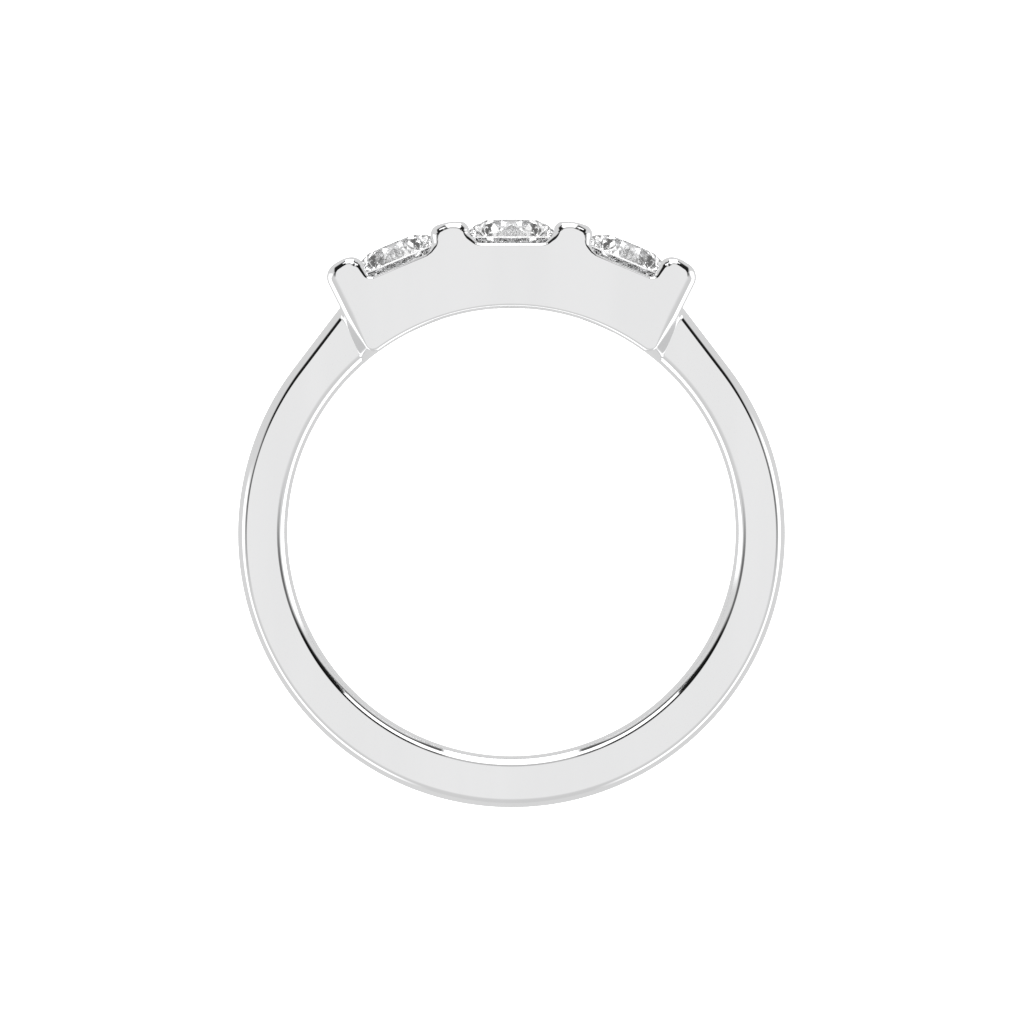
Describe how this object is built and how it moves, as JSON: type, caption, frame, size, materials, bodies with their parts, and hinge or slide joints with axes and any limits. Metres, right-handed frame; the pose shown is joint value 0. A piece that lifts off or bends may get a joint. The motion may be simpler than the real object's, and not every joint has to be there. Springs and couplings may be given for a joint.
{
  "type": "three stone ring",
  "caption": "Finger ring whose bar-set head holds a row of round brilliant-cut stones along its curve, on a plain rounded shank with straight shoulders.",
  "frame": {"origin": "centre of the finger hole, half way across the ring's width", "axes": "+Z along the finger, so the ring lies on its side; +Y from the finger to the middle stone; +X to the right stone"},
  "size_m": [0.0212, 0.0227, 0.0038],
  "materials": {
    "white_gold": "mirror polished white gold",
    "stone": "clear cut stone with flat facets"
  },
  "bodies": {
    "root": {"setting": "white_gold", "centre_stone": "stone", "left_stone": "stone", "right_stone": "stone"}
  },
  "joints": []
}
